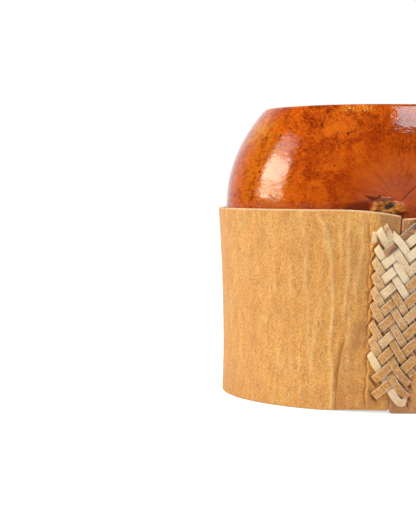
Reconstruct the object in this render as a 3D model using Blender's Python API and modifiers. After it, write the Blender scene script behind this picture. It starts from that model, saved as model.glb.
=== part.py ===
"""A mate gourd in a laced leather sleeve.

The cup is one squat gourd lying on its side: its stem scar faces the front and its mouth is sawn flat
across what was its flank. It stands in a wide band of thick leather, bent round it until the two ends
meet at the front, where two flat rawhide laces plait them shut through slanted slits.

Metres, +Z up, the laced seam at the front (-Y). The origin is on the table, under the middle of the cup.
"""

import math

import bmesh
import bpy
from mathutils import Vector

# The gourd is a ball that is a little deeper below its middle than above it.
GOURD_HALF_WIDTH = 0.0460
GOURD_HALF_DEPTH = 0.0407
GOURD_UPPER_HEIGHT = 0.0404
GOURD_LOWER_HEIGHT = 0.0450
GOURD_BASE_LIFT = 0.0051
GOURD_WALL = 0.0040
MOUTH_CUT_DEPTH = 0.0146
RIM_ROUNDING = 0.0005

# The stem scar, a star-shaped stub in a shallow dimple, sits a little above the middle of the front.
DIMPLE_DEPTH = 0.0024
DIMPLE_RADIUS = 0.0105
DIMPLE_RING_SHARES = (0.35, 0.7, 1.05, 1.4)
STEM_RISE = 0.0010
STEM_PULL_RADIUS = 0.0180
STUB_HALF_WIDTH = 0.0034
STUB_HALF_HEIGHT = 0.0023
STUB_LENGTH = 0.0032
STUB_SHIFT = -0.0014
STUB_DROP = 0.0004
STUB_LOBES = 5
# Each ring of the stub: how far out it lies, its size and how far its lobes stand out. The last is in the scar.
STUB_RING_SHARES = (
    (-0.50, 1.45, 0.16),
    (0.10, 1.22, 0.20),
    (0.45, 0.95, 0.17),
    (0.85, 0.86, 0.12),
    (1.00, 0.72, 0.10),
    (0.72, 0.42, 0.06),
)

# The blossom scar, at the back, is a low round button in a dimple of its own.
BLOSSOM_DIMPLE_DEPTH = 0.0012
BLOSSOM_DIMPLE_RADIUS = 0.0070
BUTTON_RADIUS = 0.0024
BUTTON_HEIGHT = 0.0009
BUTTON_RING_SHARES = (0.5, 1.0, 1.8)

# The leather band is as wide at its top as the gourd asks, drawn in at its waist and spread at its foot.
BAND_HEIGHT = 0.0496
BAND_THICKNESS = 0.0017
BAND_WAIST_HEIGHT = 0.0120
BAND_TOP_FLARE = 0.0013
BAND_FOOT_FLARE = 0.0003
BAND_FOOT_TRIM = 0.0004
BAND_EDGE_ROUNDING = 0.0004
SEAT_GAP = 0.00042

# At the seam both ends dip at the top, and the left one is also lifted off the table.
SEAM_GAP = 0.0006
SEAM_MIDDLE_X = 0.0004
SEAM_LEAN = 0.065
LEFT_DIP = 0.0014
LEFT_DIP_LENGTH = 0.0080
LEFT_LIFT = 0.0010
LEFT_LIFT_LENGTH = 0.0320
RIGHT_DIP = 0.0021
RIGHT_DIP_LENGTH = 0.0220
FLAP_CORNER_RADIUS = 0.0016
TOP_CORNER_SHARE = 0.5
CORNER_COLUMN_SHARES = (0.0, 0.12, 0.45, 1.0)

# Two flat laces with thin edges: one falls to the right on the outside, the other to the left.
LACE_WIDTH = 0.0017
LACE_THICKNESS = 0.00055
LACE_SHOULDER_SHARE = 0.55
LACE_SIDE_GAP = 0.00025
LACE_LAYER_GAP = 0.0003
LACE_BEND_RADIUS = 0.00045
LACE_TAIL = 0.0030
SLIT_GAP = 0.00025
RIGHT_FALL = math.radians(58.6)
LEFT_FALL = math.radians(49.2)
BRAID_MIDDLE_X = -0.0002
BRAID_MIDDLE_HEIGHT = 0.0300
BRAID_LEAN = 0.037
BRAID_TOP_MARGIN = 0.0052
BRAID_FOOT_MARGIN = 0.00275
LEFT_FOOT_MARGIN = 0.0045
EARLY_START_DROP = 0.0003

# The plait is counted in crossing columns, from the outer row of slits on the left to the one on the right.
COLUMNS = 9
INNER_ROW = 1.5
FIRST_CROSSING = 4
TURNS = (2.5, 4.5, 6.5)
TURN_REACH = 0.32
BACK_TURN_REACH = 0.5
RIGHT_FIRST_BACK_TURN = 5.76
LEFT_FIRST_BACK_TURN = 6.5
EARLY_RIGHT_STRANDS = 2
EARLY_LEFT_STRANDS = 1
SHORTEST_RUN = 6.9

# How finely the round shapes are faceted.
GOURD_SPOKES = 54
GOURD_RINGS = 18
HOLLOW_SPOKES = 40
HOLLOW_RINGS = 14
STUB_SPOKES = 30
BAND_COLUMNS = 60
BAND_ROWS = 5
BEND_STEPS = 2
EDGE_STEPS = 2
# Stations nearer to a run's end than this share of the run are left out.
CLOSEST_STATION_SHARE = 0.02
RING_SPACING_SHARE = 1.3

OVERRUN = 0.0050

# Sizes that follow from the ones above.
GOURD_MIDDLE = GOURD_BASE_LIFT + GOURD_LOWER_HEIGHT
GOURD_TOP = GOURD_MIDDLE + GOURD_UPPER_HEIGHT
BAND_WIDEST = min(BAND_HEIGHT, GOURD_MIDDLE)
LACE_LAYER = LACE_THICKNESS + LACE_LAYER_GAP
LACING_ROOM = 2 * LACE_LAYER
BAND_TOP_HALF_WIDTH = GOURD_HALF_WIDTH + SEAT_GAP + BAND_THICKNESS
BACK_INSET = GOURD_HALF_WIDTH - GOURD_HALF_DEPTH
FRONT_INSET = BACK_INSET - LACING_ROOM
PITCH = (LACE_WIDTH + LACE_SIDE_GAP) / math.cos(RIGHT_FALL)
COLUMN = PITCH / (math.tan(RIGHT_FALL) + math.tan(LEFT_FALL))
RIGHT_DROP = COLUMN * math.tan(RIGHT_FALL)
LEFT_DROP = COLUMN * math.tan(LEFT_FALL)
BRAID_TOP = BAND_HEIGHT - BRAID_TOP_MARGIN
UNDER = LACE_LAYER_GAP + LACE_THICKNESS / 2
OVER = UNDER + LACE_LAYER
NEAR_BACK = -BAND_THICKNESS - UNDER
FAR_BACK = NEAR_BACK - LACE_LAYER


def band_half_width(z):
    """Half the outer width of the band at this height."""
    waist = BAND_TOP_HALF_WIDTH - BAND_TOP_FLARE
    if z > BAND_WAIST_HEIGHT:
        rise = min(1.0, (z - BAND_WAIST_HEIGHT) / (BAND_WIDEST - BAND_WAIST_HEIGHT))
        return waist + BAND_TOP_FLARE * rise * rise
    fall = (BAND_WAIST_HEIGHT - z) / BAND_WAIST_HEIGHT
    return waist + BAND_FOOT_FLARE * fall * fall


# The laces stand proud at the front, so the middle of the whole cup lies in front of the gourd's own middle.
FRONT_REACH = band_half_width(BRAID_TOP) - FRONT_INSET + OVER + LACE_THICKNESS / 2
BACK_REACH = BAND_TOP_HALF_WIDTH - BACK_INSET
MIDDLE_Y = (FRONT_REACH - BACK_REACH) / 2


def clear_scene():
    for obj in list(bpy.data.objects):
        bpy.data.objects.remove(obj, do_unlink=True)


def new_collection(name):
    collection = bpy.data.collections.new(name)
    bpy.context.scene.collection.children.link(collection)
    return collection


def new_material(name, colour, roughness, coat=0.0):
    material = bpy.data.materials.new(name)
    material.use_nodes = True
    shader = material.node_tree.nodes["Principled BSDF"]
    shader.inputs["Base Color"].default_value = (*colour, 1.0)
    shader.inputs["Roughness"].default_value = roughness
    shader.inputs["Metallic"].default_value = 0.0
    shader.inputs["Coat Weight"].default_value = coat
    return material


def object_from(bm, name, collection, material=None):
    bmesh.ops.recalc_face_normals(bm, faces=bm.faces)
    mesh = bpy.data.meshes.new(name)
    bm.to_mesh(mesh)
    bm.free()
    obj = bpy.data.objects.new(name, mesh)
    collection.objects.link(obj)
    if material:
        mesh.materials.append(material)
    else:
        obj.hide_render = True
        obj.display_type = "WIRE"
    return obj


def skin(bm, rows, closed_rows):
    """Quads between neighbouring rows of vertices; a closed row joins its last vertex to its first."""
    for row, following in zip(rows, rows[1:]):
        count = len(row)
        for i in range(count if closed_rows else count - 1):
            j = (i + 1) % count
            bm.faces.new((row[i], row[j], following[j], following[i]))


def box(name, low, high, collection):
    bm = bmesh.new()
    bmesh.ops.create_cube(bm, size=1.0)
    size = Vector(high) - Vector(low)
    middle = (Vector(high) + Vector(low)) / 2
    for vertex in bm.verts:
        vertex.co = Vector(c * s for c, s in zip(vertex.co, size)) + middle
    return object_from(bm, name, collection)


def combine(obj, other, operation):
    boolean = obj.modifiers.new(other.name, "BOOLEAN")
    boolean.operation = operation
    boolean.solver = "EXACT"
    boolean.object = other


def cut(obj, cutter):
    combine(obj, cutter, "DIFFERENCE")


def join(obj, addition):
    combine(obj, addition, "UNION")


def round_edges(obj, width, segments):
    bevel = obj.modifiers.new("edge_rounding", "BEVEL")
    bevel.width = width
    bevel.segments = segments
    bevel.limit_method = "ANGLE"
    bevel.angle_limit = math.radians(40)


def smooth(obj, sharp_angle):
    obj.data.shade_smooth()
    obj.data.set_sharp_from_angle(angle=math.radians(sharp_angle))


def ease(share):
    """0 below 0, 1 above 1, and an even swing from one to the other between them."""
    share = min(1.0, max(0.0, share))
    return share * share * (3 - 2 * share)


def bell(distance, radius):
    return math.exp(-((distance / radius) ** 2))


def gourd_relief(distance, at_stem):
    """How far an end of the gourd stands out (+) or sinks in (-), this far from its middle."""
    if at_stem:
        return -DIMPLE_DEPTH * bell(distance, DIMPLE_RADIUS)
    button = 1 - ease(distance / BUTTON_RADIUS)
    return BUTTON_HEIGHT * button - BLOSSOM_DIMPLE_DEPTH * bell(distance, BLOSSOM_DIMPLE_RADIUS)


def gourd_point(ring_angle, spoke_angle, inset, with_scars):
    """A point of the gourd, by its angle from the stem and its angle round the stem."""
    reach = math.sin(ring_angle)
    height = GOURD_UPPER_HEIGHT if math.sin(spoke_angle) > 0 else GOURD_LOWER_HEIGHT
    x = (GOURD_HALF_WIDTH - inset) * reach * math.cos(spoke_angle)
    z = (height - inset) * reach * math.sin(spoke_angle)
    forward = (GOURD_HALF_DEPTH - inset) * math.cos(ring_angle)
    if with_scars:
        distance = math.hypot(x, z)
        at_stem = forward > 0
        forward += gourd_relief(distance, at_stem) * (1 if at_stem else -1)
        if at_stem:
            z += STEM_RISE * bell(distance, STEM_PULL_RADIUS)
    return Vector((x, MIDDLE_Y - forward, GOURD_MIDDLE + z))


def ring_angles(with_scars):
    """Rings from the stem to the blossom end, with a few more in the dimple and over the button."""
    count = GOURD_RINGS if with_scars else HOLLOW_RINGS
    even = [math.pi * ring / count for ring in range(1, count)]
    if not with_scars:
        return even
    at_stem = [math.asin(DIMPLE_RADIUS * share / GOURD_HALF_WIDTH) for share in DIMPLE_RING_SHARES]
    at_blossom = [math.asin(BUTTON_RADIUS * share / GOURD_HALF_WIDTH) for share in BUTTON_RING_SHARES]
    first = at_stem[-1] * RING_SPACING_SHARE
    last = math.pi - at_blossom[-1] * RING_SPACING_SHARE
    between = [angle for angle in even if first < angle < last]
    return at_stem + between + [math.pi - angle for angle in reversed(at_blossom)]


def loft(rings, name, collection, material=None, poles=()):
    """A closed skin over rings of points, its ends closed by a flat face or, where one is given, by a pole."""
    bm = bmesh.new()
    rows = [[bm.verts.new(point) for point in ring] for ring in rings]
    skin(bm, rows, closed_rows=True)
    if not poles:
        bm.faces.new(rows[0])
        bm.faces.new(rows[-1])
    for point, row in zip(poles, (rows[0], rows[-1])):
        pole = bm.verts.new(point)
        for i, vertex in enumerate(row):
            bm.faces.new((vertex, row[(i + 1) % len(row)], pole))
    return object_from(bm, name, collection, material)


def gourd_skin(name, inset, with_scars, collection, material=None):
    """The closed skin of the gourd, or of the hollow inside it."""
    count = GOURD_SPOKES if with_scars else HOLLOW_SPOKES
    spokes = [2 * math.pi * i / count for i in range(count)]
    rings = [[gourd_point(ring, spoke, inset, with_scars) for spoke in spokes] for ring in ring_angles(with_scars)]
    poles = [gourd_point(angle, 0.0, inset, with_scars) for angle in (0.0, math.pi)]
    return loft(rings, name, collection, material, poles)


def make_stub(collection):
    """What is left of the dried stem: a short lobed stub with a sunk scar, rooted in the wall of the gourd."""
    root = Vector((STUB_SHIFT, MIDDLE_Y - GOURD_HALF_DEPTH + DIMPLE_DEPTH, GOURD_MIDDLE - STUB_DROP))
    rings = []
    for outwards, size, lobes in STUB_RING_SHARES:
        ring = []
        for i in range(STUB_SPOKES):
            angle = 2 * math.pi * i / STUB_SPOKES
            radius = size * (1 + lobes * math.cos(STUB_LOBES * angle))
            x = STUB_HALF_WIDTH * radius * math.cos(angle)
            z = STUB_HALF_HEIGHT * radius * math.sin(angle)
            ring.append(root + Vector((x, -STUB_LENGTH * outwards, z)))
        rings.append(ring)
    return loft(rings, "stem_stub", collection)


def make_gourd(parts, cutters):
    """The dried gourd, hollowed, its mouth sawn off flat and the saw cut's edges eased, with its stub of stem."""
    lacquered = new_material("lacquered_gourd", (0.55, 0.14, 0.02), 0.16, coat=0.8)
    gourd = gourd_skin("gourd_shell", 0.0, True, parts, lacquered)
    cut(gourd, gourd_skin("gourd_hollow", GOURD_WALL, False, cutters))
    side = GOURD_HALF_WIDTH + OVERRUN
    mouth = GOURD_TOP - MOUTH_CUT_DEPTH
    saw = box("mouth_saw", (-side, MIDDLE_Y - side, mouth), (side, MIDDLE_Y + side, GOURD_TOP + OVERRUN), cutters)
    cut(gourd, saw)
    round_edges(gourd, RIM_ROUNDING, EDGE_STEPS)
    join(gourd, make_stub(cutters))
    smooth(gourd, 50)


def seam_x(z):
    return SEAM_MIDDLE_X + SEAM_LEAN * (z - BRAID_MIDDLE_HEIGHT)


def corner(distance, radius):
    """How much a corner of this radius takes off, this far from the end."""
    left = radius - min(distance, radius)
    return radius - math.sqrt(radius * radius - left * left)


def band_foot(right_way, left_way):
    lift = LEFT_LIFT * ease(1 - left_way / LEFT_LIFT_LENGTH)
    return lift + corner(min(right_way, left_way), FLAP_CORNER_RADIUS) - BAND_FOOT_TRIM


def band_top(right_way, left_way):
    dip = RIGHT_DIP * ease(1 - right_way / RIGHT_DIP_LENGTH) + LEFT_DIP * ease(1 - left_way / LEFT_DIP_LENGTH)
    return BAND_HEIGHT - dip - corner(min(right_way, left_way), FLAP_CORNER_RADIUS * TOP_CORNER_SHARE)


def band_point(angle, z):
    """A point of the band's outer face, by its angle from the front towards +X."""
    half_width = band_half_width(z)
    inset = FRONT_INSET if math.cos(angle) > 0 else BACK_INSET
    return Vector((half_width * math.sin(angle), MIDDLE_Y - (half_width - inset) * math.cos(angle), z))


def band_shares():
    """Where the band's columns stand along it, 0 to 1, closer together at the rounded corners of its ends."""
    length = 2 * math.pi * (BAND_TOP_HALF_WIDTH - FRONT_INSET / 2)
    near = [FLAP_CORNER_RADIUS * share / length for share in CORNER_COLUMN_SHARES]
    even = [(i + 0.5) / BAND_COLUMNS for i in range(BAND_COLUMNS)]
    limit = near[-1] * RING_SPACING_SHARE
    middle = [share for share in even if limit < share < 1 - limit]
    return near + middle + [1 - share for share in reversed(near)], length


def make_band(parts, cutters, slits):
    """The leather band: its outer face, then its thickness, its flat foot, its eased edges and its slits."""
    shares, length = band_shares()
    bm = bmesh.new()
    columns = []
    for share in shares:
        right_way, left_way = share * length, (1 - share) * length
        low, high = band_foot(right_way, left_way), band_top(right_way, left_way)
        column = []
        for row in range(BAND_ROWS + 1):
            z = low + (high - low) * row / BAND_ROWS
            half_width = band_half_width(z)
            first = math.asin((seam_x(z) + SEAM_GAP / 2) / half_width)
            last = 2 * math.pi + math.asin((seam_x(z) - SEAM_GAP / 2) / half_width)
            column.append(bm.verts.new(band_point(first + (last - first) * share, z)))
        columns.append(column)
    skin(bm, columns, closed_rows=False)
    leather = new_material("natural_leather", (0.62, 0.35, 0.12), 0.62)
    band = object_from(bm, "leather_sleeve", parts, leather)
    outward = band.data.polygons[0].normal.y < 0
    wall = band.modifiers.new("thickness", "SOLIDIFY")
    wall.thickness = BAND_THICKNESS
    wall.offset = -1.0 if outward else 1.0
    side = BAND_TOP_HALF_WIDTH + OVERRUN
    cut(band, box("table_trim", (-side, -side, -OVERRUN), (side, side, 0.0), cutters))
    round_edges(band, BAND_EDGE_ROUNDING, EDGE_STEPS)
    cut(band, slits)
    smooth(band, 50)


def on_front(x, z, height):
    """The point this far out from the band's outer face, at this place on its front."""
    half_width = band_half_width(z)
    depth = half_width - FRONT_INSET
    y = -depth * math.sqrt(1 - (x / half_width) ** 2)
    outward = Vector((x / half_width**2, y / depth**2, 0.0)).normalized()
    return Vector((x, MIDDLE_Y + y, z)) + outward * height


def braid_x(column, z):
    middle = BRAID_MIDDLE_X + BRAID_LEAN * (z - BRAID_MIDDLE_HEIGHT)
    return middle + (column - COLUMNS / 2) * COLUMN


def swing(column, turns, reach):
    """+1 before the first turn, then from one sign to the other at each turn, evenly."""
    side = 1.0
    for turn in turns:
        side -= 2 * side * ease((column - turn + reach) / (2 * reach))
    return side


def front_height(column, falls_right):
    """The lace that falls to the right lies on top in the first two columns, then under in two, and so on."""
    side = swing(column, TURNS, TURN_REACH) * (1 if falls_right else -1)
    return (OVER + UNDER) / 2 + side * (OVER - UNDER) / 2


def back_height(column, turn, falls_right):
    """Behind the band each lace starts next to the leather and, past its turn, lies behind the other one."""
    side = swing(column, (turn,), BACK_TURN_REACH) * (-1 if falls_right else 1)
    return (NEAR_BACK + FAR_BACK) / 2 + side * (NEAR_BACK - FAR_BACK) / 2


def strands(falls_right):
    """Each outside run of one lace, as its first and last column and its height at column 0."""
    runs = []
    if falls_right:
        lowest = BRAID_FOOT_MARGIN + SHORTEST_RUN * RIGHT_DROP
        count = math.floor((BRAID_TOP - lowest) / PITCH) + 1
        for number in range(-EARLY_RIGHT_STRANDS, count):
            level = BRAID_TOP - number * PITCH
            start = max(0.0, (level - BRAID_TOP + EARLY_START_DROP) / RIGHT_DROP) if number < 0 else 0.0
            end = min(COLUMNS - INNER_ROW, (level - BRAID_FOOT_MARGIN) / RIGHT_DROP)
            runs.append((start, end, level))
        return runs
    lowest = LEFT_FOOT_MARGIN - INNER_ROW * LEFT_DROP
    count = math.floor((BRAID_TOP - FIRST_CROSSING * PITCH - lowest) / PITCH) + 1
    for number in range(-EARLY_LEFT_STRANDS, count):
        level = BRAID_TOP - (FIRST_CROSSING + number) * PITCH
        highest = (BRAID_TOP - EARLY_START_DROP - level) / LEFT_DROP
        start = min(COLUMNS, highest) if number < 0 else float(COLUMNS)
        runs.append((start, INNER_ROW, level))
    return runs


def place(column, level, falls_right):
    """Where a strand is at this column, as x and z on the band's face."""
    z = level - RIGHT_DROP * column if falls_right else level + LEFT_DROP * column
    return Vector((braid_x(column, z), z))


def quarter_turn(direction, sign):
    return Vector((-direction.y, direction.x)) * sign


def column_at(point):
    middle = braid_x(COLUMNS / 2, point.y)
    return COLUMNS / 2 + (point.x - middle) / COLUMN


def straight_run(start, end, height_at, across, turns, reach):
    """The stations of one run between two slits, which lie a bend away from its ends."""
    length = (end - start).length
    way = (end - start) / length
    first, last = column_at(start), column_at(end)
    marks = [LACE_BEND_RADIUS / length, 1 - LACE_BEND_RADIUS / length]
    for turn in turns:
        for side in (-1, 0, 1):
            mark = (turn + side * reach - first) / (last - first)
            if marks[0] + CLOSEST_STATION_SHARE < mark < marks[1] - CLOSEST_STATION_SHARE:
                marks.append(mark)
    stations = []
    for mark in sorted(marks):
        point = start + way * (length * mark)
        stations.append((point, height_at(column_at(point)), across))
    return stations


def bend(slit, way, height, outside, inward, across):
    """A quarter circle between a run, at this height, and the straight pull through its slit."""
    side = 1 if outside else -1
    stations = []
    for step in range(BEND_STEPS):
        angle = math.pi / 2 * (step + 1) / (BEND_STEPS + 1)
        along = LACE_BEND_RADIUS * (math.sin(angle) - 1)
        down = LACE_BEND_RADIUS * (1 - math.cos(angle))
        stations.append((slit + way * along, height - side * down, across))
    stations.append((slit.copy(), height - side * LACE_BEND_RADIUS, across))
    return stations if inward else stations[::-1]


def lace_route(falls_right):
    """The whole lace: a tail behind the band, out and in through every slit, and a last tail."""
    runs = strands(falls_right)
    ends = [(place(first, level, falls_right), place(last, level, falls_right)) for first, last, level in runs]
    back_way = (ends[-1][0] - ends[-2][1]).normalized()
    behind = [(ends[0][0] - back_way * LACE_TAIL, ends[0][0])]
    behind += [(run[1], following[0]) for run, following in zip(ends, ends[1:])]
    behind += [(ends[-1][1], ends[-1][1] + back_way * LACE_TAIL)]
    turns = [COLUMNS / 2] * len(behind)
    turns[1] = RIGHT_FIRST_BACK_TURN if falls_right else LEFT_FIRST_BACK_TURN

    def front(column):
        return front_height(column, falls_right)

    route, slits = [], []
    for number, ((start, end), turn) in enumerate(zip(behind, turns)):

        def back(column):
            return back_height(column, turn, falls_right)

        way = (end - start).normalized()
        across = quarter_turn(way, -1)
        if number > 0:
            slits.append((start, (over + across).normalized()))
            route += bend(start, -way, back(column_at(start)), False, False, across)
        route += straight_run(start, end, back, across, (turn,), BACK_TURN_REACH)
        if number == len(ends):
            break
        route += bend(end, way, back(column_at(end)), False, True, across)
        out, home = ends[number]
        forth = (home - out).normalized()
        over = quarter_turn(forth, 1)
        slits.append((out, (across + over).normalized()))
        route += bend(out, -forth, front(column_at(out)), True, False, over)
        route += straight_run(out, home, front, over, TURNS, TURN_REACH)
        route += bend(home, forth, front(column_at(home)), True, True, over)
    return route, slits


def lace_section():
    """The strap's outline: full thickness in the middle, running out to thin edges."""
    half, thick = LACE_WIDTH / 2, LACE_THICKNESS / 2
    shoulder = half * LACE_SHOULDER_SHARE
    return [(half, 0.0), (shoulder, thick), (-shoulder, thick), (-half, 0.0), (-shoulder, -thick), (shoulder, -thick)]


def make_lace(name, falls_right, parts, material):
    """One flat lace, laid along its route with its flat side always facing the band."""
    route, slits = lace_route(falls_right)
    points = [Vector((point.x, point.y, height)) for point, height, _ in route]
    rings = []
    for i, (_, _, across) in enumerate(route):
        way = points[min(i + 1, len(points) - 1)] - points[max(i - 1, 0)]
        wide = Vector((across.x, across.y, 0.0))
        wide = (wide - way * wide.dot(way) / way.length_squared).normalized()
        thick = wide.cross(way).normalized()
        rings.append([on_front(*(points[i] + wide * side + thick * out)) for side, out in lace_section()])
    smooth(loft(rings, name, parts, material), 35)
    return slits


def make_slits(slits, cutters):
    """One blade for every slit: as long as a lace is wide and as thick as it is thick, with a little play."""
    bm = bmesh.new()
    half_length = LACE_WIDTH / 2 + SLIT_GAP
    half_width = LACE_THICKNESS / 2 + SLIT_GAP
    for middle, along in slits:
        sideways = quarter_turn(along, 1)
        rings = []
        for height in (LACE_LAYER, -BAND_THICKNESS - LACE_LAYER):
            ring = []
            for a, b in ((1, 1), (-1, 1), (-1, -1), (1, -1)):
                spot = middle + along * (a * half_length) + sideways * (b * half_width)
                ring.append(bm.verts.new(on_front(spot.x, spot.y, height)))
            rings.append(ring)
        skin(bm, rings, closed_rows=True)
        bm.faces.new(rings[0])
        bm.faces.new(rings[1])
    return object_from(bm, "slit_blades", cutters)


def main():
    clear_scene()
    parts = new_collection("mate_gourd")
    cutters = new_collection("cutters")
    rawhide = new_material("rawhide", (0.72, 0.56, 0.36), 0.6)
    make_gourd(parts, cutters)
    slits = make_lace("lace_falling_right", True, parts, rawhide)
    slits += make_lace("lace_falling_left", False, parts, rawhide)
    make_band(parts, cutters, make_slits(slits, cutters))
    print("strands", len(strands(True)), len(strands(False)), "slits", len(slits))


main()
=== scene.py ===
# %% [markdown]
# # A mate gourd in a laced leather sleeve
#
# The cup is one dried gourd lying on its side, lacquered outside and scraped bare inside. It stands in a wide
# band of thick leather, whose ends two flat rawhide laces plait together in front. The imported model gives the
# sizes, and this lesson dresses it: each CAD node gets a finer piece with the surface of the real thing.

# %% Load the frame
import math

import bmesh
import bpy
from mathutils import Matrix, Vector, noise


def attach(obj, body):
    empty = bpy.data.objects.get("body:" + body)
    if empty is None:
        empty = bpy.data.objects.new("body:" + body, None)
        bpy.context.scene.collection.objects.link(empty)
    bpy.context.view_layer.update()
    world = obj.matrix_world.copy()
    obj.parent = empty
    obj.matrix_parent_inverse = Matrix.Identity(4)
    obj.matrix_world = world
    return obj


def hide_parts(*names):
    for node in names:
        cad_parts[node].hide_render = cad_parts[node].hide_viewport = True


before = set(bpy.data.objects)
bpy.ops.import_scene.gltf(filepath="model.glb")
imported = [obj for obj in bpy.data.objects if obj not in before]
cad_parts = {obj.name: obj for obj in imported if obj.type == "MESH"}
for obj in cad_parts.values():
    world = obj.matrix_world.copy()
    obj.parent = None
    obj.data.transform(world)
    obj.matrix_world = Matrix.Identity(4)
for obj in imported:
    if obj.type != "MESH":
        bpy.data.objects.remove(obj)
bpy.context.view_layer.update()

MM = 0.001


def new_object(name, data):
    """A new object, linked to the scene."""
    made = bpy.data.objects.new(name, data)
    bpy.context.scene.collection.objects.link(made)
    return made


# %% [markdown]
# ## Camera
#
# The photograph was taken a hand's height above the table and turned a little to the left of the cup, so the
# cup leaves the picture on its right. A long lens keeps the leather's sides upright. We turn the camera and
# leave its lens shift alone, because a shift would follow the camera to every other side.

# %% Camera
TURNED_LEFT, TURNED_DOWN = 7.486, 2.962
camera_data = bpy.data.cameras.new("camera")
camera_data.lens = 101.8
camera_data.clip_start = 0.01
camera = new_object("camera", camera_data)
camera.location = (1.36 * MM, -399.78 * MM, 55.84 * MM)
camera.rotation_euler = (math.radians(90 - TURNED_DOWN), 0.0, math.radians(TURNED_LEFT))
bpy.context.scene.camera = camera
bpy.context.scene.view_settings.view_transform = "Standard"
print("camera", tuple(round(c, 3) for c in camera.location))

# %% [markdown]
# ## Joining nodes in one line
#
# Every tree below, of geometry or of colour, is built from two moves: add a node, then join its sockets. One
# helper does both and hands back an output, so a tree reads like a sum. A second one wraps a number socket,
# so that `width * turn.sin()` is a formula here and a row of Math nodes in Blender.

# %% Node helpers
def node(tree, kind, inputs=(), out=0, **settings):
    """Adds a node, sets it up, joins or fills its inputs, and returns one of its outputs."""
    made = tree.nodes.new(kind)
    for name, value in settings.items():
        setattr(made, name, value)
    for key, value in inputs.items() if isinstance(inputs, dict) else enumerate(inputs):
        if isinstance(value, Number):
            value = value.socket
        if isinstance(value, bpy.types.NodeSocket):
            tree.links.new(value, made.inputs[key])
        else:
            made.inputs[key].default_value = value
    return made.outputs[out] if made.outputs else None


class Number:
    """A number socket that takes part in sums."""

    def __init__(self, tree, socket):
        self.tree, self.socket = tree, socket

    def do(self, operation, *others):
        return Number(self.tree, node(self.tree, "ShaderNodeMath", (self, *others), operation=operation))

    def step(self, low, high, to_low=0.0, to_high=1.0):
        """An even swing between two values while the number goes from low to high."""
        made = node(self.tree, "ShaderNodeMapRange", (self, low, high, to_low, to_high),
                    interpolation_type="SMOOTHSTEP")
        return Number(self.tree, made)

    def past(self, start, full):
        """0 up to the first of two lengths in millimetres and 1 from the second one on, either way round."""
        return self.step(start * MM, full * MM)

    def within(self, start, full, still_full, end):
        """1 between the two middle lengths, in millimetres, and 0 outside the outer two."""
        return self.past(start, full) * self.past(end, still_full)


OPERATIONS = {"__add__": "ADD", "__sub__": "SUBTRACT", "__mul__": "MULTIPLY", "__truediv__": "DIVIDE",
              "__pow__": "POWER", "sin": "SINE", "cos": "COSINE", "size": "ABSOLUTE"}
for name, operation in OPERATIONS.items():
    setattr(Number, name, lambda self, *others, operation=operation: self.do(operation, *others))


def parts_of(tree, vector):
    """The x, y and z of a vector socket, as numbers."""
    made = tree.nodes.new("ShaderNodeSeparateXYZ")
    tree.links.new(vector, made.inputs[0])
    return [Number(tree, output) for output in made.outputs]


def vector_of(tree, *values):
    return node(tree, "ShaderNodeCombineXYZ", values)


print("numbers know", *OPERATIONS.values())

# %% [markdown]
# ## Growing a mesh from a tree
#
# A geometry tree is made once, with named inputs for its sizes. To use it, we hang it on a carrier object,
# set its inputs and copy the evaluated result into a plain mesh. Every tree ends the same way: instances made
# real, faces smooth and given their material, since the export would drop the rest.

# %% Geometry helpers
def move(tree, geometry, inputs):
    return node(tree, "GeometryNodeSetPosition", {"Geometry": geometry, **inputs})


def scaled(tree, vector, scale):
    return node(tree, "ShaderNodeVectorMath", {0: vector, "Scale": scale}, operation="SCALE")


def roughen(tree, geometry, scale, detail, height):
    """Moves every point along its normal by smooth noise of this height."""
    lumps = {"Vector": node(tree, "GeometryNodeInputPosition"), "Scale": scale, "Detail": detail}
    lift = (Number(tree, node(tree, "ShaderNodeTexNoise", lumps)) - 0.5) * height
    return move(tree, geometry, {"Offset": scaled(tree, node(tree, "GeometryNodeInputNormal"), lift)})


def new_tree(name, inputs):
    """A geometry tree with named inputs, the node that hands them out, and the one that takes the result."""
    tree = bpy.data.node_groups.new(name, "GeometryNodeTree")
    tree.interface.new_socket("Geometry", in_out="OUTPUT", socket_type="NodeSocketGeometry")
    tree.interface.new_socket("Geometry", in_out="INPUT", socket_type="NodeSocketGeometry")
    for title, (kind, value) in inputs.items():
        socket = tree.interface.new_socket(title, in_out="INPUT", socket_type="NodeSocket" + kind)
        if value is not None:
            socket.default_value = value
    return tree, tree.nodes.new("NodeGroupInput").outputs, tree.nodes.new("NodeGroupOutput").inputs


def close_tree(tree, geometry, given, result):
    """Ends a tree the way every tree here ends: real faces, smooth, with their material."""
    geometry = node(tree, "GeometryNodeSetShadeSmooth", (geometry,))
    geometry = node(tree, "GeometryNodeRealizeInstances", (geometry,))
    geometry = node(tree, "GeometryNodeSetMaterial", {"Geometry": geometry, "Material": given["Material"]})
    tree.links.new(geometry, result[0])
    print("tree", tree.name, len(tree.nodes), "nodes")


def grown(tree, mesh, values):
    """The plain mesh that a tree makes of a mesh, with these named inputs."""
    carrier = new_object("carrier", mesh)
    modifier = carrier.modifiers.new("tree", "NODES")
    modifier.node_group = tree
    for item in tree.interface.items_tree:
        if item.in_out == "INPUT" and item.name in values:
            modifier[item.identifier] = values[item.name]
    graph = bpy.context.evaluated_depsgraph_get()
    made = bpy.data.meshes.new_from_object(carrier.evaluated_get(graph), depsgraph=graph)
    bpy.data.objects.remove(carrier)
    return made


# %% [markdown]
# ## Two ways to vary a surface
#
# Skin, hide and wood are never one colour. In a material a Noise Texture gives the mottling, and stretching
# its space turns blots into fibres. On a mesh the same kind of noise, read in Python, lifts the real faces.

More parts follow.
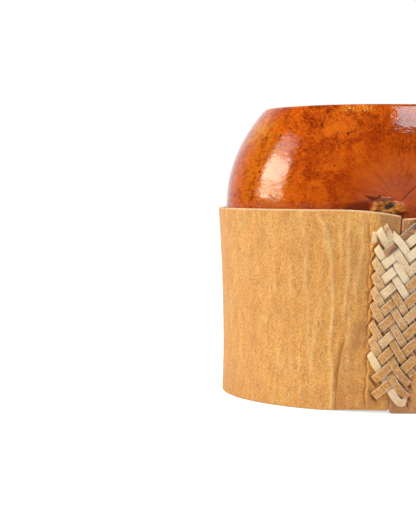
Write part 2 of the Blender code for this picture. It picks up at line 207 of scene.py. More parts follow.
# %% Noise helpers
def mottle(tree, vector, scale, stretch=(1.0, 1.0, 1.0), detail=3.0, roughness=0.5, shift=0.0, swirl=0.0):
    """Cloudy noise, with blots about 1 / scale metres wide where the stretch is 1."""
    moved = {"Vector": vector, "Location": (shift, shift, shift), "Scale": stretch}
    values = {"Vector": node(tree, "ShaderNodeMapping", moved), "Scale": scale, "Detail": detail,
              "Roughness": roughness, "Distortion": swirl}
    return Number(tree, node(tree, "ShaderNodeTexNoise", values))


def ease(share):
    """From 0 to 1 with a soft start and a soft end."""
    share = min(1.0, max(0.0, share))
    return share * share * (3 - 2 * share)


def bell(distance, radius):
    return math.exp(-((distance / radius) ** 2))


def ripple(x, y, z=0.0):
    """Smooth noise between -1 and 1, for a point given in its own blots."""
    return noise.noise(Vector((x, y, z)))


print("halfway", ease(0.5), "one radius out", round(bell(1, 1), 2))

# %% [markdown]
# ## Colour laid on in coats
#
# A dyer works in coats: a ground, then darker and lighter ones over parts of it. A material here does the
# same. Each coat is a Mix node that covers the last one where its amount is 1, and the amounts are sums of
# noise and of place. The shader's other values are plain numbers on its own sockets.

# %% Coats
def blend(tree, amount, first, second, mode="MIX"):
    """The first colour, and the second one where the amount is 1."""
    first, second = ((*c, 1.0) if isinstance(c, tuple) else c for c in (first, second))
    inputs = {0: amount, 6: first, 7: second}
    return node(tree, "ShaderNodeMix", inputs, out=2, data_type="RGBA", blend_type=mode, clamp_factor=True)


class Coats:
    """A material whose colour is laid on in coats, over noise that reads the place on the cup."""

    def __init__(self, name, **values):
        self.material = bpy.data.materials.new(name)
        self.material.use_nodes = True
        self.tree = self.material.node_tree
        self.shader = self.tree.nodes["Principled BSDF"].inputs
        for title, value in values.items():
            self.shader[title.replace("_", " ")].default_value = value
        self.place = self.pattern = node(self.tree, "ShaderNodeTexCoord", out="Object")

    def noise(self, scale, stretch=(1.0, 1.0, 1.0), **values):
        return mottle(self.tree, self.pattern, scale, stretch, **values)

    def carried(self, *names):
        """Numbers that the mesh itself carries from point to point."""
        return [Number(self.tree, node(self.tree, "ShaderNodeAttribute", out="Fac", attribute_name=name))
                for name in names]

    def ground(self, amount, first, second):
        self.colour = blend(self.tree, amount, first, second)

    def __call__(self, amount, colour, mode="MIX"):
        self.colour = blend(self.tree, amount, self.colour, colour, mode)

    def bumps(self, height, depth):
        """Joins the colour, and bumps this deep, to the shader."""
        bump = node(self.tree, "ShaderNodeBump", {"Height": height, "Distance": depth})
        self.tree.links.new(self.colour, self.shader["Base Color"])
        self.tree.links.new(bump, self.shader["Normal"])
        print("material", self.material.name, len(self.tree.nodes), "nodes")


# %% [markdown]
# ## Lacquer
#
# The gourd's skin was stained and lacquered: orange brown under one clear hard gloss, clouded with darker
# blots and paler and golden on the left flank, where the same patch gives the window's highlight a painted
# warm tint. Its grain is half specks and half strokes that run in to the stem from all sides, so some noises
# read the direction from the stem.

# %% Lacquer
STEM = (1.2 * MM, 51.5 * MM)
GLOSS, BARK_ROUGHNESS = 0.06, 0.6
paint = Coats("stained_lacquer", Roughness=GLOSS, IOR=1.5)
x, y, z = parts_of(paint.tree, paint.place)
right, up = x - STEM[0], z - STEM[1]
reach = (right * right + up * up) ** 0.5
front = y.past(-22, -30)


def rays_in(across, along, **values):
    """Noise that runs in to the stem, with this many blots across and along its strokes."""
    spokes = vector_of(paint.tree, right / reach * across, up / reach * across, reach * along)
    return mottle(paint.tree, spokes, 1.0, **values)


cloud = paint.noise(55.0, detail=4.0, roughness=0.6)
blots = paint.noise(170.0, detail=6.0, roughness=0.75, shift=3.0, swirl=0.6)
flecks = paint.noise(2300.0, roughness=0.7, shift=7.0)
strokes = rays_in(50.0, 800.0, roughness=0.7)
grain = flecks * 0.5 + strokes * 0.5
busy = reach.past(9, 26) * 0.7 + 0.3
busy = busy * cloud.step(0.62, 0.42, 0.55, 1.0) + x.past(-2, 3) * 0.4
# Painted highlight tint: the golden flank patch lies where the window's highlight falls, to warm its colour.
golden_flank_and_highlight_tint = x.within(-44, -37, -31, -24) * z.within(48, 53, 64, 70) * y.past(0, -6)
strong = busy * blots.step(0.4, 0.56, 0.4, 1.0) * 0.9 + 0.1
paint.ground(cloud.step(0.36, 0.62), (0.48, 0.058, 0.0024), (0.63, 0.1, 0.0042))
paint(golden_flank_and_highlight_tint * 0.7, (0.66, 0.165, 0.008))
paint(blots.step(0.47, 0.58) * busy * (golden_flank_and_highlight_tint * -0.45 + 0.85), (0.28, 0.024, 0.0018))
paint(blots.step(0.48, 0.36) * 0.45, (0.7, 0.135, 0.006))
paint(grain.step(0.515, 0.585) * strong, (0.17, 0.015, 0.0015))
paint(grain.step(0.47, 0.38) * (busy * 0.35 + 0.15), (0.85, 0.21, 0.012))
print("orange brown, with", len(paint.tree.nodes), "nodes")

# %% [markdown]
# Where the skin was thin the stain came out yellow: in patches on the left and in a warmer glow below the rim.
# Bright yellow crumbs also lie along the front of the rim. Each is a window of place times a noise, so no edge
# is straight.

# %% Thin skin
yellow = paint.noise(420.0, detail=5.0, roughness=0.75, shift=11.0)
patches = x.past(-28, -34) * z.within(64, 69, 71, 75)
crumbs = z.past(73.4, 74.2) * x.within(-15, -12, -8, -4) * front
glow = x.within(-24, -18, -11, -5) * z.past(64, 70) * front
glow = glow + x.within(-24, -18, -14, -8) * z.within(50, 54, 58, 63) * front * 0.3
paint(patches * yellow.step(0.44, 0.58) * 0.65, (0.7, 0.29, 0.02))
paint(crumbs * flecks.step(0.53, 0.58) * 0.9, (0.98, 0.5, 0.09))
paint(glow * blots.step(0.6, 0.47) * 0.3, (0.8, 0.185, 0.014))
print("yellow places, with", len(paint.tree.nodes), "nodes")

# %% [markdown]
# Round the stem the stain gathered in wrinkles: streaks close by, thin rays that rise to the mouth and a folded
# line to the upper right. Painted light lies there too: a pinkish painted reflection close round the stem,
# painted shade over the upper right, and a dark band of painted shade on the left, just above the leather. The
# fold and the band are both laid along tilted lines roughened by the blots.

# %% Stain round the stem
streaks = rays_in(9.0, 70.0, detail=4.0, roughness=0.6)
rays = rays_in(30.0, 180.0, detail=4.0, roughness=0.65, shift=5.0, swirl=0.7)
near = reach.past(17, 5) * front
rising = up.past(1, 6) * x.past(-5, 2) * reach.past(24, 12) * front
fold = (right * 0.72 - up * 0.69 + (blots - 0.5) * (1.2 * MM)).size()
fold = fold.past(0.3, 0.05) * up.past(0.2, 0.8) * reach.past(9, 3) * front
wavy = z + (blots - 0.5) * (2.0 * MM) - x * 0.12
paint(streaks.step(0.52, 0.66) * near * 0.6, (0.27, 0.028, 0.002))
paint(streaks.step(0.47, 0.36) * near * 0.4, (0.72, 0.15, 0.012))
# Painted reflection: a pinkish brown veil close round the stem.
paint(reach.past(14, 6) * front * 0.5, (0.58, 0.11, 0.034))
# Painted shade: the front above and right of the stem is darker.
paint(x.past(-4, 8) * z.past(60, 70) * front * 0.5, (0.24, 0.03, 0.004))
paint(rays.step(0.5, 0.64) * rising * 0.6, (0.22, 0.022, 0.002))
paint(fold * 0.8, (0.085, 0.016, 0.004))
# Painted shade: the dark band on the left of the stem, just above the leather.
paint(wavy.past(52.9, 51.8) * x.within(-17, -9.5, -7, -5) * front * 0.8, (0.17, 0.016, 0.001))
print("stained, with", len(paint.tree.nodes), "nodes")

# %% [markdown]
# The stub of stem is bare bark, dull and ochre, with a grey scar. Each point of the mesh will carry how much
# of it is stub and how much is scar. A dark wedge of painted shade lies on the stub's left.

# %% Bark and scar
stub, scar = paint.carried("stub", "scar")
bark = blend(paint.tree, strokes.step(0.42, 0.56), (0.86, 0.32, 0.014), (0.52, 0.125, 0.006))
bark = blend(paint.tree, yellow.step(0.52, 0.62) * 0.75, bark, (0.15, 0.042, 0.01))
# Painted shade: a dark wedge on the stub's left.
lean = z + (blots - 0.5) * (1.2 * MM)
shade_wedge = (lean + x * 0.12).past(52.4, 52.0) * (lean - x * 0.11).past(51.6, 52.2)
shade_wedge = shade_wedge * (x + lean * 1.4).past(66.1, 66.9) * x.past(0.0, -1.4) * front
specks = paint.noise(520.0, detail=1.0, shift=31.0)
waves = paint.noise(420.0, (1.0, 1.0, 2.4), roughness=0.55, shift=21.0)
paint(stub, bark)
paint(shade_wedge * 0.9, (0.15, 0.018, 0.002))
paint(scar, (0.085, 0.06, 0.05))
paint(specks.step(0.745, 0.78) * 0.8, (0.06, 0.015, 0.004))
paint.tree.links.new(stub.step(0.0, 0.2, GLOSS, BARK_ROUGHNESS).socket, paint.shader["Roughness"])
paint.bumps(waves * 0.7 + blots * 0.4 + streaks * near * 0.4 + flecks * 0.035, 0.1 * MM)
lacquer_material = paint.material

# %% [markdown]
# ## The inside of the gourd
#
# Inside, the pulp is scraped off down to the pale woody wall, which mate has browned. It is dull and fibrous.
# The same material closes the saw cut at the mouth.

# %% Scraped wall
paint = Coats("scraped_gourd_wall", Roughness=0.8)
cloud = paint.noise(90.0, detail=5.0, roughness=0.6)
fibres = paint.noise(900.0, (1.0, 1.0, 0.12), roughness=0.6, shift=5.0)
paint.ground(cloud.step(0.35, 0.65), (0.36, 0.2, 0.085), (0.55, 0.35, 0.17))
paint(fibres.step(0.5, 0.7) * 0.6, (0.25, 0.13, 0.05))
paint.bumps(fibres + cloud, 0.3 * MM)
wall_material = paint.material

# %% [markdown]
# ## The gourd's skin
#
# A gourd grows as a smooth ball, a little flat at its stem and its blossom end. One could scale a ball by
# hand, but the shape follows a rule, so a tree bends a flat grid into it: across the grid is the turn round
# the cup, and up it is the rise from the bottom to the mouth. Both are crowded together at the front, where
# the stem needs small faces. The same tree makes the hollow, one wall further in.

# %% Gourd tree
HALF_WIDTH, HALF_DEPTH, UPPER, LOWER = 46.0 * MM, 40.7 * MM, 40.4 * MM, 45.0 * MM
MIDDLE_Y, MIDDLE_Z, MOUTH = 1.533 * MM, 50.1 * MM, 75.9 * MM
WALL, RIM_ROUNDING = 4.0 * MM, 0.25 * MM
TURN_CROWDING, RISE_CROWDING = 0.6, 0.25
counts = {"Spokes": 384, "Rings": 190}
sizes = {"Inset": 0.0, "Mouth Rise": 2.2, "Half Width": HALF_WIDTH, "Half Depth": HALF_DEPTH,
         "Upper": UPPER, "Lower": LOWER, "Lump Size": 16 * MM, "Lump Height": 0.25 * MM}
inputs = {name: ("Int", count) for name, count in counts.items()}
inputs |= {name: ("Float", size) for name, size in sizes.items()}
tree, given, result = new_tree("gourd_skin", inputs | {"Material": ("Material", None)})
take = {name: Number(tree, given[name]) for name in inputs}
grid = node(tree, "GeometryNodeMeshGrid", (1.0, 1.0, take["Spokes"] + 1.0, take["Rings"] + 1.0))
across, along, _ = parts_of(tree, node(tree, "GeometryNodeInputPosition"))
turn = across * (2 * math.pi)
turn = turn - turn.sin() * TURN_CROWDING
rise = (along + 0.5) * take["Mouth Rise"]
rise = rise + (rise * 2.0).sin() * RISE_CROWDING
level = rise.cos() * -1.0
halves = (level.do("GREATER_THAN", 0.0), take["Lower"], take["Upper"])
height = Number(tree, node(tree, "GeometryNodeSwitch", halves, input_type="FLOAT")) - take["Inset"]
x = (take["Half Width"] - take["Inset"]) * rise.sin() * turn.sin()
y = (take["Half Depth"] - take["Inset"]) * rise.sin() * turn.cos() * -1.0 + MIDDLE_Y
skin = move(tree, grid, {"Position": vector_of(tree, x, y, height * level + MIDDLE_Z)})
skin = node(tree, "GeometryNodeMergeByDistance", {"Geometry": skin, "Distance": 0.02 * MM})
skin = roughen(tree, skin, take["Lump Size"] ** -1.0, 1.0, take["Lump Height"])
close_tree(tree, skin, given, result)
gourd_tree = tree


def mouth_rise(inset):
    """How far round from its bottom pole the skin goes before the saw, undoing the tree's crowding."""
    angle = math.acos(-(MOUTH - RIM_ROUNDING - MIDDLE_Z) / (UPPER - inset))
    rise = angle
    for _ in range(40):
        rise = angle - RISE_CROWDING * math.sin(2 * rise)
    return rise


outer = grown(gourd_tree, bpy.data.meshes.new("outer"),
              {"Mouth Rise": mouth_rise(0.0), "Material": lacquer_material})
hollow = grown(gourd_tree, bpy.data.meshes.new("hollow"),
               {"Mouth Rise": mouth_rise(WALL), "Inset": WALL, "Rings": 44, "Lump Height": 0.6 * MM,
                "Material": wall_material})
print("skin", len(outer.vertices), "hollow", len(hollow.vertices))

# %% [markdown]
# ## The stem scar
#
# Where the vine was cut, a dried stub is left in a dimple, unevenly lobed, with a sunken scar. The lacquer
# runs up to it without a break, so it isn't a piece of its own but is sculpted out of the skin: each point
# near the front moves by a height that is read from its distance and direction from the stem.

# %% Stem and blossom ends
STUB_MIDDLE, SCAR_MIDDLE = (-3.4, -1.5), (-2.6, -1.0)
STEM_REACH, BLOSSOM_REACH = 28 * MM, 22 * MM


def stub_shares(right, up):
    """How much of a point, in millimetres from the stem, belongs to the stub and to the scar in it."""
    x, z = right - STUB_MIDDLE[0], up - STUB_MIDDLE[1]
    angle = math.atan2(z * 1.5, x)
    lobes = 1 + 0.12 * math.cos(3 * angle + 0.6)
    lobes += 0.22 * ripple(2.2 * math.cos(angle), 2.2 * math.sin(angle), 3.1)
    stub = 1 - ease((math.hypot(x / 4.4, z / 2.3) / lobes - 0.72) / 0.36)
    x, z = right - SCAR_MIDDLE[0], up - SCAR_MIDDLE[1]
    along, beside = x * 0.88 + z * 0.47, z * 0.88 - x * 0.47
    scar = 1 - ease((math.hypot(along / 1.8, beside / 0.75) - 0.6) / 0.5)
    return stub, scar * stub


def stem_height(right, up):
    """How far the skin stands out at the stem, in millimetres, this far right of it and above it."""
    reach = math.hypot(right, up)
    angle = math.atan2(up, right)
    stub, scar = stub_shares(right, up)
    grain = ripple(right * 0.9, up * 1.8, 5.0) * 0.7 + ripple(right * 2.4, up * 4.4, 9.0) * 0.4
    folds = ripple(9 * math.cos(angle), 9 * math.sin(angle), reach / 9)
    height = -2.3 * bell(reach, 10.5) + stub * (1.7 + grain) - 0.8 * scar
    return height - 0.1 * abs(folds) * bell(reach - 5.5, 3.5) * (1 - stub)


def blossom_height(right, up):
    reach = math.hypot(right, up)
    return 0.9 * (1 - ease(reach / 2.4)) - 1.2 * bell(reach, 7.0)


def shape_ends(mesh):
    stubs, scars = (mesh.attributes.new(name, "FLOAT", "POINT").data for name in ("stub", "scar"))
    for vertex in mesh.vertices:
        x, y, z = vertex.co
        if y < MIDDLE_Y:
            right, up = (x - STEM[0]) / MM, (z - STEM[1]) / MM
            if math.hypot(right, up) < STEM_REACH / MM:
                vertex.co.y -= stem_height(right, up) * MM
                stubs[vertex.index].value, scars[vertex.index].value = stub_shares(right, up)
        elif math.hypot(x, z - MIDDLE_Z) < BLOSSOM_REACH:
            vertex.co.y += blossom_height(x / MM, (z - MIDDLE_Z) / MM) * MM


shape_ends(outer)
print("stub stands at", round(stem_height(-5.0, -1.2), 2), "mm in a dimple of", round(stem_height(2.5, 0), 2))

# %% [markdown]
# ## The sawn mouth
#
# The mouth was sawn off level and its two edges eased by hand. The skin and the hollow end in loops with the
# same spokes, so the rim is a few more loops laid between them along a rounded profile. That keeps one closed
# shell of clean four-sided faces, which a Boolean cut would not.

# %% Close the rim
# Across the rim, from the skin to the hollow: the share of the way, and of the rounding, at each loop.
RIM_SHARES = ((0.025, 0.38), (0.055, 0.74), (0.1, 0.95), (0.16, 1.0), (0.5, 1.0), (0.84, 1.0), (0.9, 0.95),
              (0.945, 0.74), (0.975, 0.38))
SAW_SLIP, SAW_ROUGHNESS = 0.28 * MM, 0.05 * MM


def open_loop(faces):
    """The open edge of some faces, in order round the cup."""
    loose = {v for f in faces for e in f.edges if len(e.link_faces) == 1 for v in e.verts}
    return sorted(loose, key=lambda v: math.atan2(v.co.x / HALF_WIDTH, (v.co.y - MIDDLE_Y) / HALF_DEPTH))


def sawn(point):
    """The level of the saw cut: nearly flat, but lower at the front right, where the saw came out."""
    turn = math.atan2(point.x, MIDDLE_Y - point.y)
    rough = SAW_ROUGHNESS * (1 + ripple(point.x * 140, point.y * 140))
    return MOUTH - SAW_SLIP * bell(turn - 0.5, 0.55) - rough


def as_mesh(bm, name, *materials):
    """A filled bmesh as a plain mesh, with its faces turned outwards and its materials in order."""
    bmesh.ops.recalc_face_normals(bm, faces=bm.faces)
    mesh = bpy.data.meshes.new(name)
    bm.to_mesh(mesh)
    bm.free()
    for material in materials:
        mesh.materials.append(material)
    return mesh


def add_piece(name, mesh, node_name):
    """Puts a finished mesh in the scene as a piece of the cup, in place of its CAD node."""
    piece = new_object(name, mesh)
    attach(piece, "root")
    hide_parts(node_name)
    low, high = ([round(f(v.co[i] for v in mesh.vertices) / MM, 2) for i in range(3)] for f in (min, max))
    print(name, low, high, "faces", len(mesh.polygons))


bm = bmesh.new()
bm.from_mesh(outer)
outside = set(bm.faces)
bm.from_mesh(hollow)
inside = [f for f in bm.faces if f not in outside]
bmesh.ops.reverse_faces(bm, faces=inside)
for face in bm.faces:
    face.material_index = 0 if face in outside else 1
first, last = open_loop(outside), open_loop(inside)
for vertex in first + last:
    vertex.co.z = sawn(vertex.co) - RIM_ROUNDING
rows = [first]
for share, rise in RIM_SHARES:
    row = []
    for a, b in zip(first, last):
        point = a.co.lerp(b.co, share)
        point.z = sawn(point) - RIM_ROUNDING * (1 - rise)
        row.append(bm.verts.new(point))
    rows.append(row)
rows.append(last)
for number, (row, following) in enumerate(zip(rows, rows[1:])):
    for i in range(len(row)):
        j = (i + 1) % len(row)
        face = bm.faces.new((row[i], row[j], following[j], following[i]))
        face.material_index = 0 if number < 2 else 1
        face.smooth = True
gourd = as_mesh(bm, "gourd", lacquer_material, wall_material)
add_piece("gourd", gourd, "gourd_shell")

# %% [markdown]
# ## Leather
#
# The sleeve is thick vegetable-tanned hide, left its own golden tan and never lacquered. Close up it is a
# felt of short fibres that runs up the band. The pattern has to follow the hide, so it reads the band's own
# map, along the band and up it.

# %% Hide
HIDE = (1.0, 0.5, 1.0)
paint = Coats("tan_leather", Roughness=0.6, Sheen_Weight=0.15, Sheen_Roughness=0.4, Specular_IOR_Level=0.35)
paint.pattern = node(paint.tree, "ShaderNodeUVMap", uv_map="hide")
cloud = paint.noise(20.0, (1.0, 0.6, 1.0), detail=4.0, roughness=0.6)
felt = paint.noise(90.0, HIDE, detail=5.0, roughness=0.7, shift=4.0)
warm = paint.noise(38.0, HIDE, detail=5.0, roughness=0.65, shift=19.0)
speckle = paint.noise(900.0, (1.0, 0.6, 1.0), roughness=0.8, shift=2.0)
fibres = paint.noise(300.0, HIDE, roughness=0.7, shift=15.0, swirl=1.6)
threads = paint.noise(150.0, (1.0, 0.24, 1.0), detail=4.0, roughness=0.6, shift=6.0, swirl=0.9)
line = (threads - 0.5).size().step(0.022, 0.0) * cloud.step(0.4, 0.58, 0.35, 1.0)
paint.ground(cloud.step(0.34, 0.64), (0.82, 0.322, 0.056), (0.92, 0.412, 0.08))
paint(felt.step(0.48, 0.6) * 0.6, (0.64, 0.24, 0.045))
paint(felt.step(0.48, 0.36) * 0.55, (0.96, 0.49, 0.12))
paint(warm.step(0.49, 0.6) * 0.45, (0.9, 0.325, 0.04))
paint(speckle.step(0.49, 0.59) * 0.65, (0.52, 0.16, 0.022))
paint(speckle.step(0.49, 0.39) * 0.5, (0.98, 0.6, 0.2))
paint((fibres - 0.5).size().step(0.04, 0.0) * 0.6, (0.98, 0.62, 0.22))
paint(fibres.step(0.55, 0.64) * 0.5, (0.62, 0.205, 0.034))
paint(line * 0.5, (0.98, 0.62, 0.22))
paint(threads.step(0.55, 0.68) * 0.3, (0.6, 0.215, 0.042))
print("felt, with", len(paint.tree.nodes), "nodes")

# %% [markdown]
# Hands and tea have stained it brown beside the lacing, and it is darker brown over the top of the seam. The
# flap on the right of the seam lies in cooler light, so it is tinted blue and browner at its foot, with a
# painted highlight along its cut edge. The seam leans, and these with it. Down the band's left side a painted
# sheen makes the hide paler and pinker.

# %% Stains and tints
SEAM_PLACE, SEAM_LEVEL, SEAM_LEAN = 0.4 * MM, 30 * MM, 0.065
x, y, z = parts_of(paint.tree, paint.place)
front = y.past(0, -10)


def smudge(middle, level, wide, high):
    """1 at a place on the front, in millimetres, and 0 from this far off."""
    off = ((x - middle * MM) / (wide * MM)) ** 2.0 + ((z - level * MM) / (high * MM)) ** 2.0
    return off.step(1.0, 0.0) * front


stain = paint.noise(60.0, HIDE, detail=6.0, roughness=0.7, shift=12.0)
dirty = (smudge(-8.4, 19.5, 3.4, 6.5) * 1.1 + smudge(-9.3, 3.3, 6.0, 5.0)
         + smudge(-11.5, 9.0, 4.5, 9.0) * 0.5 + smudge(-8.5, 34.0, 2.5, 9.0) * 0.5)
beside = x - (z - SEAM_LEVEL) * SEAM_LEAN
far = beside.past(0.3, 0.6) * x.past(34, 12) * front
# Painted highlight: a pale strip along the flap's cut edge, high on the seam.
edge_highlight = beside.within(0.42, 0.56, 0.7, 1.0) * z.past(36, 42) * front
# Darker brown over the top of the seam.
paint(smudge(-0.8, 47.5, 4.2, 6.0) * (stain * 0.5 + 0.35), (0.36, 0.16, 0.06))
paint(dirty * stain.step(0.36, 0.6, 0.15, 0.6), (0.44, 0.18, 0.065))
paint(far * 0.9, (0.81, 0.74, 1.0), "MULTIPLY")
paint(far * z.past(20, 4) * 0.3, (0.62, 0.36, 0.19))
paint(edge_highlight * 0.7, (0.9, 0.56, 0.3))
# Painted sheen: the band's left side is paler and pinker.
paint(x.past(-43.5, -47.5) * 0.6, (0.8, 0.43, 0.22))
print("stained, with", len(paint.tree.nodes), "nodes")

# %% [markdown]
# Pores and the marks of work come last. The mesh carries these marks: the bare cut edge, the flesh side, the
# lips and dents that the laces have pulled, and the ridges of the creases. The dents, slit grooves and crease
# valleys are darkened as painted shade, and the ridges are lightened as a painted highlight.

# %% Leather
pores = paint.noise(620.0, detail=1.0, shift=9.0)
cut, flesh, lip, dent_shade, ridge = paint.carried("cut_edge", "flesh", "lip", "dent_shade", "ridge")
paint(pores.step(0.66, 0.72) * 0.5, (0.3, 0.11, 0.03))
# Painted highlight: the crease ridges are lighter.
paint(ridge * felt.step(0.62, 0.4, 0.35, 0.9), (1.0, 0.68, 0.3))
paint(lip * 0.85, (1.0, 0.46, 0.1))
# Painted shade in the dents, slit grooves and crease valleys.
paint(dent_shade * 0.8, (0.36, 0.115, 0.02))
paint(flesh, (0.42, 0.24, 0.11))
paint(cut * 0.8, (0.92, 0.64, 0.36))
paint.bumps(felt + speckle * 0.5 + threads * 0.6 + fibres * 0.9, 0.4 * MM)
leather_material = paint.material

# %% [markdown]
# ## The band's course
#
# On the table the band is an oval, drawn in at its waist and spread by the gourd at its top. It is cut from a
# flat strip, so one number runs along it and one up it. These functions say where its outer face is; the
# laces lie on it by them. At the seam both ends dip at the top, and the left one hangs clear of the table.

# %% Band shape
BAND_TOP, BAND_WAIST, THICKNESS = 49.6 * MM, 12.0 * MM, 1.7 * MM
WIDEST, FRONT_INSET, BACK_INSET = 48.12 * MM, 3.6 * MM, 5.3 * MM
TOP_FLARE, FOOT_FLARE = 1.3 * MM, 0.3 * MM


def band_half_width(z):
    if z > BAND_WAIST:
        return WIDEST - TOP_FLARE * (1 - min(1.0, (z - BAND_WAIST) / (BAND_TOP - BAND_WAIST)) ** 2)
    return WIDEST - TOP_FLARE + FOOT_FLARE * ((BAND_WAIST - z) / BAND_WAIST) ** 2


def band_point(angle, z, height=0.0):
    """A point this far out from the band's outer face, by its angle from the front towards +X."""
    wide = band_half_width(z)
    deep = wide - (FRONT_INSET if math.cos(angle) > 0 else BACK_INSET)
    out = Vector((math.sin(angle) / wide, -math.cos(angle) / deep, 0.0)).normalized()
    return Vector((wide * math.sin(angle), MIDDLE_Y - deep * math.cos(angle), z)) + out * height


print("band", round(2 * band_half_width(BAND_TOP) / MM, 1), "mm wide at its top")

# %% Seam and corners
GAP_AT_FOOT, GAP_SPREAD, SPREAD_UP_TO = 0.04 * MM, 0.26 * MM, 40 * MM
FOOT_LIFT, LIFT_REACH, FOOT_DROP = 1.0 * MM, 32 * MM, 0.4 * MM
RIGHT_DIP, RIGHT_REACH, LEFT_DIP, LEFT_REACH = 2.1 * MM, 22 * MM, 1.45 * MM, 15 * MM
RIGHT_FOOT_CORNER, SMALL_CORNER = 1.6 * MM, 0.5 * MM


def seam_x(z):
    return SEAM_PLACE + SEAM_LEAN * (z - SEAM_LEVEL)


def seam_gap(z):
    """The two ends touch at the foot and part a little towards the top."""
    return GAP_AT_FOOT + GAP_SPREAD * ease(z / SPREAD_UP_TO)


def corner(way, radius):
    """How much a rounded corner takes off, this far from the end of the band."""
    left = radius - min(way, radius)
    return radius - math.sqrt(radius * radius - left * left)


def band_foot(right_way, left_way):
    """The height of the foot, this far along the band from its right and its left end."""
    lift = FOOT_LIFT * ease(1 - left_way / LIFT_REACH)
    on_right = right_way < left_way
    rounded = corner(right_way, RIGHT_FOOT_CORNER) if on_right else corner(left_way, SMALL_CORNER)
    return max(0.0, lift + rounded - FOOT_DROP)


def band_head(right_way, left_way):
    """The height of the top edge, this far along the band from its right and its left end."""
    dip = RIGHT_DIP * ease(1 - right_way / RIGHT_REACH) + LEFT_DIP * max(0.0, 1 - left_way / LEFT_REACH) ** 2
    return BAND_TOP - dip - corner(min(right_way, left_way), SMALL_CORNER)


print("seam", [round(seam_x(z * MM) / MM, 2) for z in (0, 25, 50)], "mm right of the middle")

# %% [markdown]
# ## Where the laces go
#
# The plait is a herringbone: each lace goes over two and under two. Seen as columns between the two rows of
# slits, the lace that falls to the right lies on top in two columns and beneath in the next two, and the
# other does the opposite. A perfect lattice looks knitted by a machine, so each strand keeps the start, the
# middle and the end that it has on the cup. One short loose end is tucked in beside them at the top.

# %% Plait
COLUMN, COLUMNS = 1.416 * MM, 9
PLAIT_LEFT, PLAIT_LEAN = 0.2 * MM, 0.037
# Each strand that falls to the right: its first column and its height there, its height at the middle column,
# and its last column and its height there. Heights are in millimetres above the table.
RIGHT_MIDDLE = 5.5
RIGHT_STRANDS = (
    (3.75, 43.7, 41.1, 8.5, 34.6), (2.45, 45.6, 37.5, 8.5, 31.2), (1.55, 44.8, 34.6, 8.5, 28.0),
    (1.25, 40.6, 31.0, 8.5, 24.4), (0.95, 37.6, 27.1, 8.5, 20.5), (1.0, 34.2, 23.2, 8.5, 16.7),
    (0.95, 30.6, 19.3, 8.5, 12.8), (0.95, 27.0, 15.4, 8.4, 9.3), (0.85, 22.3, 10.8, 7.65, 7.2),
    (0.9, 18.5, 7.15, 7.6, 4.1), (0.85, 14.8, 4.0, 7.3, 2.9),
)
# Each strand that falls to the left: its heights at the two outer columns, and its first and last column.
# Past the left one it runs on a little flatter.
OUTER_RIGHT, OUTER_LEFT, FLATTER = 7.5, 3.5, 0.87
LEFT_STRANDS = (
    (45.3, 39.8, 7.9, 1.3), (42.8, 37.4, 8.6, 1.3), (39.2, 33.8, 8.6, 1.3), (35.6, 30.1, 8.6, 1.3),
    (31.9, 26.0, 8.6, 1.3), (28.0, 22.3, 8.6, 1.3), (24.2, 18.05, 8.6, 1.3), (20.3, 14.2, 8.6, 1.3),
    (16.4, 10.5, 8.6, 1.65), (12.3, 6.4, 8.6, 1.75),
)


def plait_x(column, z):
    return -PLAIT_LEFT + PLAIT_LEAN * (z - SEAM_LEVEL) + (column - COLUMNS / 2) * COLUMN


def spot(column, z):
    """Column and height in millimetres to a place on the unrolled front."""
    return Vector((plait_x(column, z * MM), z * MM))


def column_at(place):
    return COLUMNS / 2 + (place.x - plait_x(COLUMNS / 2, place.y)) / COLUMN


LOOSE_END = [spot(0.85, 41.5), spot(0.85, 44.3)]
right_runs = [LOOSE_END] + [[spot(first, start), spot(RIGHT_MIDDLE, middle), spot(last, end)]
                            for first, start, middle, last, end in RIGHT_STRANDS]
left_runs = []
for right, left, first, last in LEFT_STRANDS:
    fall = (right - left) / (OUTER_RIGHT - OUTER_LEFT)
    start, end = right + (first - OUTER_RIGHT) * fall, left - (OUTER_LEFT - last) * fall * FLATTER
    left_runs.append([spot(first, start), spot(OUTER_RIGHT, right), spot(OUTER_LEFT, left), spot(last, end)])
print("strands with the loose end", len(right_runs), "and the other way", len(left_runs))

# %% [markdown]
# ## A lace's whole route
#
# Each lace is one long strap: along the front, in through a slit, across behind the leather, out through the
# next. The route is worked out on the unrolled front, as a place and a height above the leather that changes
# where strands cross, and only then wrapped round the band.

# %% Curves and heights
UNDER, OVER = 0.42 * MM, 1.3 * MM
NEAR_BACK, FAR_BACK = -THICKNESS - 0.42 * MM, -THICKNESS - 1.05 * MM
FRONT_TURNS, BACK_TURNS = (2.5, 4.5, 6.5), (4.5,)


def curve_points(knots, step):
    """Points along a smooth curve through the knots, evenly spaced, from knot to knot."""
    ends = [knots[0] * 2 - knots[1], *knots, knots[-1] * 2 - knots[-2]]
    points = []
    for a, b, c, d in zip(ends, ends[1:], ends[2:], ends[3:]):
        count = max(2, round((c - b).length / step))
        for i in range(count):
            t = i / count
            points.append(b + (c - a) * (t / 2) + (a * 2 - b * 5 + c * 4 - d) * (t * t / 2)
                          + (b * 3 - a - c * 3 + d) * (t**3 / 2))
    return points + [knots[-1]]


def woven(first, second, turns, reach):
    """A height that changes from the first to the second and back at each of these columns."""
    def height(column):
        side = 1.0
        for turn in turns:
            side -= 2 * side * ease((column - turn + reach) / (2 * reach))
        return (first + second) / 2 + side * (first - second) / 2
    return height


def dive(way, height, floor, radius):
    """The height of a strap that bends down into a slit, this far before it."""
    if way >= radius:
        return height
    return floor + (height - floor) * math.sqrt(max(0.0, 1 - (1 - way / radius) ** 2))


